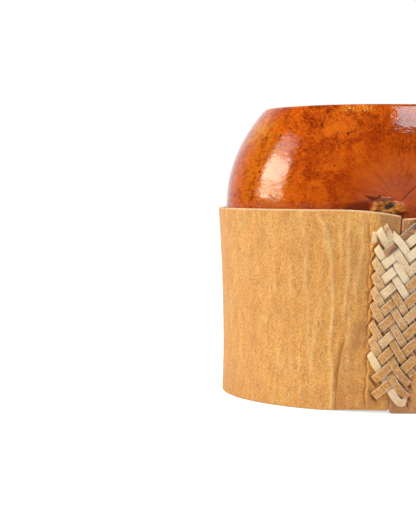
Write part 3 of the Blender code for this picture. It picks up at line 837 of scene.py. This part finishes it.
def lay(points, height_of, floor, radius):
    """Heights along one run, with a bend down into the slit at both of its ends."""
    length = sum((b - a).length for a, b in zip(points, points[1:]))
    way, run = 0.0, []
    for i, point in enumerate(points):
        way += (point - points[i - 1]).length if i else 0.0
        run.append((point, dive(min(way, length - way), height_of(column_at(point)), floor, radius)))
    return run


print("lies between", UNDER / MM, "and", OVER / MM, "mm above the leather")

# %% Route
FRONT_STEP, FRONT_FLOOR, FRONT_BEND = 0.22 * MM, -0.5 * MM, 0.75 * MM
BACK_STEP, BACK_FLOOR, BACK_BEND = 0.5 * MM, -THICKNESS + 0.5 * MM, 0.6 * MM


def lace_route(runs, falls_right):
    """Stations of the whole lace: place, height, and a number for each run, odd behind the band."""
    order = 1 if falls_right else -1
    front = woven(*(OVER, UNDER)[::order], FRONT_TURNS, 0.42)
    back = woven(*(FAR_BACK, NEAR_BACK)[::order], BACK_TURNS, 0.6)
    route = []
    for number, knots in enumerate(runs):
        height_of = (lambda column: UNDER) if knots is LOOSE_END else front
        run = lay(curve_points(knots, FRONT_STEP), height_of, FRONT_FLOOR, FRONT_BEND)
        route += [(place, height, 2 * number) for place, height in run]
        if number + 1 < len(runs):
            behind = curve_points([knots[-1], runs[number + 1][0]], BACK_STEP)
            run = lay(behind, back, BACK_FLOOR, BACK_BEND)
            route += [(place, height, 2 * number + 1) for place, height in run]
    return route


right_route, left_route = lace_route(right_runs, True), lace_route(left_runs, False)
print("stations", len(right_route), len(left_route))

# %% [markdown]
# ## Rawhide
#
# The laces are flat straps of rawhide, paler and harder than the sleeve. The upper strands are almost cream,
# the lower ones are browned by hands and have light, fuzzy edges. The left part of the plait, on the lit side,
# is painted paler, and a dark line of painted shade runs along each strap's sides. The mesh carries three
# numbers for this: how far across the strap a point is, how brown its strand is, and whether that one is
# stained.

# %% Rawhide
paint = Coats("rawhide", Roughness=0.45, Sheen_Weight=0.08, Specular_IOR_Level=0.4)
across, tone, stain = paint.carried("across", "tone", "stain")
cloud = paint.noise(300.0, detail=5.0, roughness=0.65)
grain = paint.noise(1900.0, roughness=0.75, shift=3.0)
# Painted light: the left part of the plait, on the lit side, is paler.
left = parts_of(paint.tree, paint.place)[0].past(0.5, -5.5)
age = tone + (cloud - 0.5) * 0.9 - left * 0.35
rim = across.size().step(0.7, 0.9) * grain.step(0.35, 0.55, 0.35, 1.0)
pale = blend(paint.tree, left, (1.0, 0.76, 0.49), (1.0, 0.7, 0.36))
tanned = blend(paint.tree, left, (0.66, 0.3, 0.078), (0.77, 0.33, 0.068))
mark = blend(paint.tree, cloud.step(0.44, 0.56), (0.2, 0.105, 0.075), (0.55, 0.265, 0.115))
paint.ground(age, pale, tanned)
paint(grain.step(0.47, 0.66) * age.step(0.0, 0.8, 0.12, 0.62), (0.35, 0.14, 0.038))
paint(grain.step(0.48, 0.38) * age.step(0.0, 1.0, 0.45, 0.3), (1.0, 0.8, 0.52))
paint(stain * cloud.step(0.3, 0.45, 0.6, 1.0), mark)
paint(rim * 0.7, (0.97, 0.8, 0.58))
# Painted shade: a dark line along the strap's sides, as in the gaps between strands.
paint(across.size().step(0.94, 0.985) * 0.85, (0.2, 0.095, 0.04))
paint.bumps(grain + cloud * 2.0, 0.18 * MM)
rawhide_material = paint.material

# %% [markdown]
# ## Sweeping the laces
#
# A curve with a round bevel would give cord, and a twisted ribbon wherever it turns. Here a tree turns the
# route into a curve, is told which way is out at each point, and sweeps a flat section along it.

# %% Lace tree
LACE_THICKNESS = 0.6 * MM


def carried(tree, name, kind="FLOAT"):
    """What the points of a geometry carry under this name."""
    return node(tree, "GeometryNodeInputNamedAttribute", {"Name": name}, data_type=kind)


inputs = {"Width": ("Float", 2.0 * MM), "Thickness": ("Float", LACE_THICKNESS),
          "Section Points": ("Int", 20), "Fray": ("Float", 0.06 * MM), "Material": ("Material", None)}
tree, given, result = new_tree("flat_lace", inputs)
half_width, half_thick = Number(tree, given["Width"]) * 0.5, Number(tree, given["Thickness"]) * 0.5
curve = node(tree, "GeometryNodeMeshToCurve", (given["Geometry"],))
facing = {"Curve": curve, "Normal": carried(tree, "face_out", "FLOAT_VECTOR")}
curve = node(tree, "GeometryNodeSetCurveNormal", facing, mode="FREE")
circle = {"Resolution": given["Section Points"], "Radius": 1.0}
ring = node(tree, "GeometryNodeCurvePrimitiveCircle", circle)
x, y, _ = parts_of(tree, node(tree, "GeometryNodeInputPosition"))
flat = (x.size() ** 0.3) * x.do("SIGN")
plump = (y.size() ** 0.38) * y.do("SIGN")
kept = {"Geometry": ring, "Name": "across", "Value": flat}
ring = node(tree, "GeometryNodeStoreNamedAttribute", kept, data_type="FLOAT", domain="POINT")
ring = move(tree, ring, {"Position": vector_of(tree, plump * half_thick, flat * half_width, 0.0)})
sweep = {"Curve": curve, "Profile Curve": ring, "Scale": carried(tree, "wide"), "Fill Caps": True}
strap = node(tree, "GeometryNodeCurveToMesh", sweep)
slant = scaled(tree, carried(tree, "slant", "FLOAT_VECTOR"), carried(tree, "across"))
strap = move(tree, strap, {"Offset": slant})
strap = roughen(tree, strap, 1 / (0.9 * MM), 2.0, given["Fray"])
close_tree(tree, strap, given, result)
flat_lace = tree

# %% [markdown]
# A strand comes out of its slit narrow and slanting, as the slit does, and opens to its full width within a
# few steps. So every station of the route gets its own direction, slant and width before the sweep.

# %% Route in space
SLIT_SLANT = math.tan(math.radians(18))
OPENS_WITHIN, STRAIGHT_WITHIN, TONED_WITHIN = 1.5 * MM, 2.6 * MM, 5.0 * MM
SINKS_FROM, SINKS_OVER, NUDGE, LOOSE_SHARE = -0.3 * MM, 0.7 * MM, 0.1 * MM, 0.7


def on_front(place, height):
    """Wraps a place on the unrolled front round the band."""
    return band_point(math.asin(place.x / band_half_width(place.y)), place.y, height)


def station(route, i, start, width, narrow, falls_right):
    """What one station of the route carries: its outward side, its slant and its share of the width."""
    place, height, run = route[i]
    before, after = max(i - 1, 0), min(i + 1, len(route) - 1)
    ends = [Vector((*route[k][0], route[k][1])) for k in (before, after)]
    way = ends[1] - ends[0]
    first, last = (route[k if route[k][2] == run else i][0] for k in (before, after))
    level = last - first
    across = Vector((-level.y, level.x, 0.0)).normalized() * (-1 if run % 2 else 1)
    side = (across - way * across.dot(way) / way.length_squared).normalized()
    out = way.cross(side).normalized()
    here, since = on_front(place, height), (place - start).length
    ahead = on_front(place + Vector((out.x, out.y)) * NUDGE, height + out.z * NUDGE) - here
    slant, share = Vector(), narrow
    if run % 2 == 0:
        forth = (on_front(place + level.normalized() * NUDGE, height) - here).normalized()
        lean = SLIT_SLANT * (1 - ease(since / STRAIGHT_WITHIN)) * (1 if falls_right else -1)
        slant = forth * (lean * width / 2)
        opened = min(ease(since / OPENS_WITHIN), ease((height - SINKS_FROM) / SINKS_OVER))
        share = narrow + (1 - narrow) * opened
    loose = falls_right and run == 0
    return ahead.normalized(), slant, share * (LOOSE_SHARE if loose else 1.0)


def route_mesh(route, width, narrow, falls_right, tones, stained):
    """The route as a line of points in space that carry what the sweep and the pattern read."""
    points = [on_front(place, height) for place, height, _ in route]
    mesh = bpy.data.meshes.new("route")
    mesh.from_pydata(points, [(i, i + 1) for i in range(len(points) - 1)], [])
    made = {"face_out": [], "slant": [], "wide": [], "tone": [], "stain": []}
    starts = {}
    for i, (place, _, run) in enumerate(route):
        start = starts.setdefault(run, place)
        first, last = tones[run // 2]
        tone = first + (last - first) * ease((place - start).length / TONED_WITHIN)
        row = (*station(route, i, start, width, narrow, falls_right), tone, 1.0 if run in stained else 0.0)
        for values, value in zip(made.values(), row):
            values.append(value)
    for name, values in made.items():
        vectors = isinstance(values[0], Vector)
        data = mesh.attributes.new(name, "FLOAT_VECTOR" if vectors else "FLOAT", "POINT").data
        flat = [c for v in values for c in v] if vectors else values
        data.foreach_set("vector" if vectors else "value", flat)
    return mesh


# %% Laces
# How brown each strand is where it comes out and further on, from the top one down. The first of the lace
# that falls to the right is its loose end.
RIGHT_TONES = (
    (0.0, 0.0), (0.05, 0.05), (0.75, 0.2), (0.05, 0.05), (0.25, 0.05), (0.9, 0.85), (0.95, 0.85),
    (0.95, 0.85), (1.2, 1.0), (1.2, 1.0), (1.2, 1.0), (0.3, 0.3),
)
LEFT_TONES = (
    (0.9, 0.9), (0.0, 0.0), (0.0, 0.0), (0.35, 0.35), (0.95, 1.05), (0.95, 1.05), (0.8, 0.65),
    (0.95, 1.15), (1.0, 1.3), (1.1, 1.4),
)
for side, route, width, narrow, tones, stained in (
        ("right", right_route, 1.86 * MM, 0.98, RIGHT_TONES, ()),
        ("left", left_route, 2.1 * MM, 0.75, LEFT_TONES, (0,))):
    line = route_mesh(route, width, narrow, side == "right", tones, stained)
    mesh = grown(flat_lace, line, {"Width": width, "Material": rawhide_material})
    add_piece("lace_" + side, mesh, "lace_falling_" + side)

# %% [markdown]
# ## The sleeve
#
# The band is closed loops stood side by side: up the outer face, over the rounded top edge, down the inner
# face and round the foot. A Solidify modifier would be quicker, but this way only the outer face takes marks.
# Each slit is a groove with a lip beside it, where the lace has pulled the hide up, and along each row of
# slits the hide stands in one uneven ridge.

# %% Slits
# Their slants in degrees: where a strand comes out on its own side, and where one goes back in at the foot.
LEFT_OUT, LEFT_IN, RIGHT_OUT, RIGHT_IN = 57, 125, 123, 105
ROW_FROM_SEAM, ROW_LEAN, ROW_REACH, SLIT_REACH = 5.65, 0.03, 10.0, 3.0
SLITS = []
for runs, end, back, slant in ((right_runs[4:], 0, 0.0, LEFT_OUT), (left_runs[-2:], -1, 0.1, LEFT_IN),
                               (left_runs, 0, 0.0, RIGHT_OUT), (right_runs[-3:], -1, 0.0, RIGHT_IN)):
    SLITS += [(run[end].x / MM - back, run[end].y / MM - back, slant) for run in runs]


def slit_relief(x, z):
    """The groove of each slit and the lip that the lace has pulled up beside it: height, lip and the share of
    painted shade.
    """
    height, lip, dent_shade = 0.0, 0.0, 0.0
    if abs(x) > ROW_REACH:
        return height, lip, dent_shade
    for middle, level, degrees in SLITS:
        right, up = x - middle, z - level
        if abs(right) > SLIT_REACH or abs(up) > SLIT_REACH:
            continue
        cosine, sine = math.cos(math.radians(degrees)), math.sin(math.radians(degrees))
        along, beside = right * cosine + up * sine, -right * sine + up * cosine
        beside *= 1 if middle < 0 else -1
        span = bell(along, 1.25)
        height += span * (0.3 * bell(beside - 0.55, 0.35) - 1.2 * bell(beside, 0.28))
        dent_shade = max(dent_shade, span * bell(beside, 0.35))
    if 1.5 < z < 46:
        way, seed = (1, 3.0) if x < 0 else (-1, 8.0)
        row = abs(x) - (ROW_FROM_SEAM - ROW_LEAN * (z - 30) * way) + 0.7 * ripple(z / 3.1, seed)
        share = 0.65 + 0.7 * ripple(z / 1.6, 4.0)
        height += 0.42 * share * bell(row, 0.32) - 0.18 * bell(row - 0.6, 0.22)
        lip = max(0.0, share) * bell(row, 0.38)
        dent_shade = max(dent_shade, (0.45 + 0.5 * ripple(z / 5.0, 6.0)) * bell(row - 0.6, 0.25))
    return height, lip, dent_shade


print("slits", len(SLITS))

# %% [markdown]
# Thick hide that was bent wet keeps long upright creases. The main ones lie as they do on the cup, each a
# line through a few points. Smooth noise warps them and adds the small ones between.

# %% Creases
# How far from the seam each one is at these heights, in millimetres, and how far it stands out.
CREASES = (
    (((49, -20.0), (43, -17.0), (36, -15.9), (27, -15.0), (17, -15.2), (8, -14.2), (0, -13.7)), 0.34),
    (((18, -12.0), (13, -12.8), (7, -13.3), (0, -13.2)), -0.45),
    (((46, -12.0), (34, -11.6), (22, -12.2)), 0.22), (((30, -21.8), (14, -21.0)), 0.22),
    (((49, -24.5), (38, -22.6), (30, -23.0)), 0.2), (((20, -26.5), (2, -26.0)), 0.2),
    (((49, -9.0), (40, -8.6), (30, -9.4)), 0.18), (((16, -30.0), (0, -31.0)), 0.15),
    (((47, -18.5), (40, -18.0), (33, -18.6)), 0.18), (((44, -14.0), (37, -13.4)), 0.2),
    (((30, -18.8), (20, -18.2)), 0.16), (((26, -11.0), (12, -10.4)), 0.16),
    (((22, -19.5), (10, -20.2), (3, -19.6)), 0.2), (((12, -23.5), (2, -22.6)), 0.22),
    (((12, -28.0), (4, -27.0)), 0.2), (((36, -27.5), (28, -27.0)), 0.15),
    (((47, -28.0), (41, -27.6)), 0.14), (((34, -10.0), (26, -9.2)), 0.16),
    (((42, -33.0), (30, -32.0)), 0.14), (((45, 11.0), (25, 12.0), (6, 10.6)), 0.25),
    (((40, 16.0), (12, 15.0)), 0.2),
)
CREASED_WITHIN, CREASE_REACH, FADE = 36, 12, 2


def crease_place(knots, z):
    """How far from the seam a crease is at this height."""
    here = knots[0][1]
    for (high, first), (low, second) in zip(knots, knots[1:]):
        if low <= z <= high:
            here = second + (first - second) * ease((z - low) / (high - low))
        elif z < low:
            here = second
    return here


def crease(side, z):
    """The creases this far from the seam (left is negative) and at this height: height, and the shares of
    painted highlight on a ridge and of painted shade in a valley.
    """
    near = bell(abs(side) - 17, 12)
    ridge, dent_shade = 0.0, 0.0
    warp = 1.2 * ripple(side / 9, z / 16, 1.0)
    folds = ripple((side + warp) / 3.0, z / 18, 2.0) + 0.5 * ripple((side + warp) / 1.6, z / 9, 7.0)
    height = (0.04 + 0.1 * near) * folds + 0.06 * ripple(side / 1.1, z / 2.2)
    if abs(side) >= CREASED_WITHIN:
        return height, ridge, dent_shade
    for knots, tall in CREASES:
        top, foot = knots[0][0], knots[-1][0]
        if foot - FADE < z < top + FADE and abs(side - knots[0][1]) < CREASE_REACH:
            ends = ease((z - foot + FADE) / 3) * ease((top + FADE - z) / 3)
            off = side - crease_place(knots, z) + 0.25 * ripple(z / 4, tall * 9)
            share = ends * max(0.0, 0.75 + 0.6 * ripple(z / 5, tall * 5))
            share *= bell(off, 0.5 if tall > 0 else 0.38)
            height += 1.5 * tall * share
            if tall > 0:
                ridge = max(ridge, share * min(1.0, 2.5 * tall))
            else:
                dent_shade = max(dent_shade, share * 0.6)
    return height, ridge, dent_shade


print("creases", len(CREASES))

# %% [markdown]
# Each loop knows how far along the hide it is and how high each of its points stands. That becomes the map
# that the leather reads, and the marks are kept on the points as named numbers.

# %% Loops of the band
ROWS, INNER_ROWS, EDGE_ROUNDING = 140, 24, 0.4 * MM
EDGE_TURNS = (30, 60, 90, 120, 150)
BAND_LENGTH = 2 * math.pi * (WIDEST - FRONT_INSET / 2)
# How wide the loops stand, up to this far from the seam.
LOOP_STEPS = ((16 * MM, 0.2 * MM), (45 * MM, 0.4 * MM), (BAND_LENGTH, 1.1 * MM))


def band_ways():
    """Distances along the band for its loops: close together at the lacing, wider apart at the back."""
    half, way = [0.0, 0.12 * MM, 0.3 * MM, 0.6 * MM], 0.6 * MM
    while way < BAND_LENGTH / 2:
        way += next(step for reach, step in LOOP_STEPS if way < reach)
        half.append(way)
    half = [w for w in half if w < BAND_LENGTH / 2 - 0.3 * MM]
    return half + [BAND_LENGTH / 2] + [BAND_LENGTH - w for w in reversed(half)]


def band_outline(way):
    """One loop round the band's thickness: heights, depths behind the outer face, and the marks there."""
    right_way, left_way = way, BAND_LENGTH - way
    low, high = band_foot(right_way, left_way), band_head(right_way, left_way)
    tall = high - low - 2 * EDGE_ROUNDING
    side = (right_way if right_way < left_way else -left_way) / MM
    left = 1 - min(1.0, min(right_way, left_way) / EDGE_ROUNDING)
    shrink = EDGE_ROUNDING * (1 - math.sqrt(1 - left**2))
    outline = []

    def edge(level, up):
        for degrees in EDGE_TURNS[::up]:
            sine, cosine = math.sin(math.radians(degrees)), math.cos(math.radians(degrees))
            depth = -THICKNESS / 2 + cosine * (THICKNESS / 2 - shrink)
            outline.append((level + up * EDGE_ROUNDING * (sine - 1), depth, {"cut_edge": 1.0}))

    for row in range(ROWS + 1):
        z = low + EDGE_ROUNDING + tall * row / ROWS
        pulled, lip, dent_shade = slit_relief(side + seam_x(z) / MM, z / MM)
        folded, ridge, fold = crease(side, z / MM)
        marks = {"lip": lip, "dent_shade": max(dent_shade, fold), "ridge": ridge}
        outline.append((z, (folded + pulled) * MM - shrink, marks))
    edge(high, 1)
    for row in range(INNER_ROWS + 1):
        z = high - EDGE_ROUNDING - tall * row / INNER_ROWS
        outline.append((z, -THICKNESS + shrink, {"flesh": 1.0}))
    edge(low, -1)
    return outline


print("band", round(BAND_LENGTH / MM, 1), "mm long, in", len(band_ways()), "loops")

# %% Sleeve
MARKS = ("cut_edge", "flesh", "lip", "dent_shade", "ridge")


def sleeve_mesh():
    bm = bmesh.new()
    hide = bm.loops.layers.uv.new("hide")
    for name in MARKS:
        bm.verts.layers.float.new(name)
    loops = []
    for way in band_ways():
        loop = []
        for z, depth, marks in band_outline(way):
            wide = band_half_width(z)
            first = math.asin((seam_x(z) + seam_gap(z) / 2) / wide)
            last = 2 * math.pi + math.asin((seam_x(z) - seam_gap(z) / 2) / wide)
            vertex = bm.verts.new(band_point(first + (last - first) * way / BAND_LENGTH, z, depth))
            for name, share in marks.items():
                vertex[bm.verts.layers.float[name]] = share
            loop.append((vertex, (way / BAND_LENGTH, z / BAND_LENGTH)))
        loops.append(loop)

    def face(corners):
        made = bm.faces.new([vertex for vertex, _ in corners])
        for made_corner, (_, place) in zip(made.loops, corners):
            made_corner[hide].uv = place
        return made

    for loop, following in zip(loops, loops[1:]):
        for i in range(len(loop)):
            j = (i + 1) % len(loop)
            face((loop[i], following[i], following[j], loop[j])).smooth = True
    face(loops[0])
    face(loops[-1])
    return as_mesh(bm, "sleeve", leather_material)


add_piece("sleeve", sleeve_mesh(), "leather_sleeve")

# %% [markdown]
# ## Floor and light
#
# The cup stands on plain white. A floor that only reflects turns grey at this distance from the lamps, so it
# also glows, but for the camera alone: the glow adds no light under the cup.

# %% Floor
FLOOR_HALF, FLOOR_GLOW = 3.0, 0.7
WHITE, FLOOR_GREY = (1.0, 1.0, 1.0, 1.0), (0.8, 0.8, 0.8, 1.0)
bm = bmesh.new()
bmesh.ops.create_grid(bm, x_segments=1, y_segments=1, size=FLOOR_HALF)
mesh = bpy.data.meshes.new("floor")
bm.to_mesh(mesh)
bm.free()
obj = new_object("floor", mesh)
material = bpy.data.materials.new("white_floor")
material.use_nodes = True
tree = material.node_tree
tree.nodes.clear()
seen = Number(tree, node(tree, "ShaderNodeLightPath", out="Is Camera Ray"))
matte = node(tree, "ShaderNodeBsdfDiffuse", {"Color": FLOOR_GREY})
glow = node(tree, "ShaderNodeEmission", {"Color": WHITE, "Strength": seen * FLOOR_GLOW})
node(tree, "ShaderNodeOutputMaterial", {"Surface": node(tree, "ShaderNodeAddShader", (matte, glow))})
mesh.materials.append(material)
print("floor", 2 * FLOOR_HALF, "m wide")

# %% [markdown]
# The room is dark in front, which is what lets the lacquer keep its depth, and bright behind, which lights
# the rim. The world answers by the kind of ray: white for the camera, the dark and bright room for
# reflections, and one even light for all the rest.

# %% World
ROOM_BEHIND, ROOM_DARK, ROOM_LIGHT = 0.42, 0.012, 0.6
made = bpy.data.worlds.new("studio")
bpy.context.scene.world = made
made.use_nodes = True
tree = made.node_tree
tree.nodes.clear()
path = tree.nodes.new("ShaderNodeLightPath").outputs
camera_ray, glossy, through = (Number(tree, path[name]) for name in
                               ("Is Camera Ray", "Is Glossy Ray", "Is Transmission Ray"))
_, ahead, _ = parts_of(tree, node(tree, "ShaderNodeTexCoord", out="Generated"))
plain = camera_ray.do("MAXIMUM", through)
strength = plain.do("MAXIMUM", glossy * ahead.step(ROOM_BEHIND, 1.0, ROOM_DARK, 1.0))
ambient = (plain.do("MAXIMUM", glossy) * -1.0 + 1.0) * ROOM_LIGHT
surface = node(tree, "ShaderNodeBackground", {"Color": WHITE, "Strength": strength + ambient})
node(tree, "ShaderNodeOutputWorld", {"Surface": surface})
print("world", len(tree.nodes), "nodes")

# %% [markdown]
# The window on the left is three panes of soft light, which the gloss shows as one bright upright patch: a
# main one, a low strip under it and a bluer one high up. A large cool panel hangs over the right.

# %% Lamps
CUP, BELOW = (0.0, 0.0, 0.055), (0.22, -0.3, 0.05)
# Each lamp: its place, what it is aimed at, its width and height, its radiance and its colour.
LAMPS = {
    "window_main": ((-0.846, -0.065, 0.35), CUP, 0.34, 0.26, 11.1, (1.0, 0.93, 0.76)),
    "window_low": ((-0.846, -0.075, 0.148), CUP, 0.34, 0.04, 19.0, (1.0, 0.94, 0.66)),
    "window_high": ((-0.75, -0.01, 0.555), CUP, 0.28, 0.18, 2.9, (0.48, 0.88, 1.0)),
    "overhead": ((0.22, -0.3, 1.05), BELOW, 0.42, 0.68, 7.5, (0.88, 0.96, 1.0)),
}
# The power of a soft box is worked out from how bright its face is.
for name, (place, aim, width, height, radiance, colour) in LAMPS.items():
    data = bpy.data.lights.new(name, "AREA")
    data.shape = "RECTANGLE"
    data.size, data.size_y = width, height
    data.color = colour
    data.energy = radiance * math.pi * width * height
    box = new_object(name, data)
    box.location = place
    box.rotation_euler = (Vector(aim) - Vector(place)).to_track_quat("-Z", "Y").to_euler()
    print(name, "watts", round(data.energy, 2))
